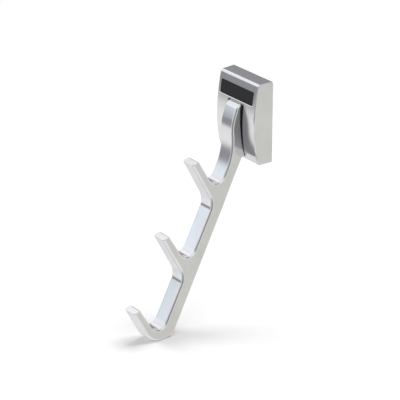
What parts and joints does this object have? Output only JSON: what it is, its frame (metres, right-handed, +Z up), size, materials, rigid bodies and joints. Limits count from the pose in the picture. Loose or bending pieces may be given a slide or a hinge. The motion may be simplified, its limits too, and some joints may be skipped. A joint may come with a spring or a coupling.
{
  "type": "waterfall hook rack",
  "caption": "Wall-mounted waterfall hook rack: a slotted block holds a cast arm whose upturned prongs step down and forward, for hangers, coats or bags.",
  "frame": {"origin": "middle of the block's back face, on the wall plane", "axes": "+X across the width, +Y into the wall, +Z up; the hooks face -Y"},
  "size_m": [0.046, 0.1133, 0.1867],
  "materials": {
    "satin_metal": "satin plated die casting",
    "dark_inlay": "matt charcoal",
    "plated_steel": "bright zinc plate",
    "screw_steel": "dark plated steel"
  },
  "bodies": {
    "root": {"housing": "satin_metal", "arm": "satin_metal", "inlay": "dark_inlay", "wall_plate": "plated_steel", "arm_screw_1": "screw_steel", "arm_screw_2": "screw_steel", "locking_screw": "screw_steel"}
  },
  "joints": []
}
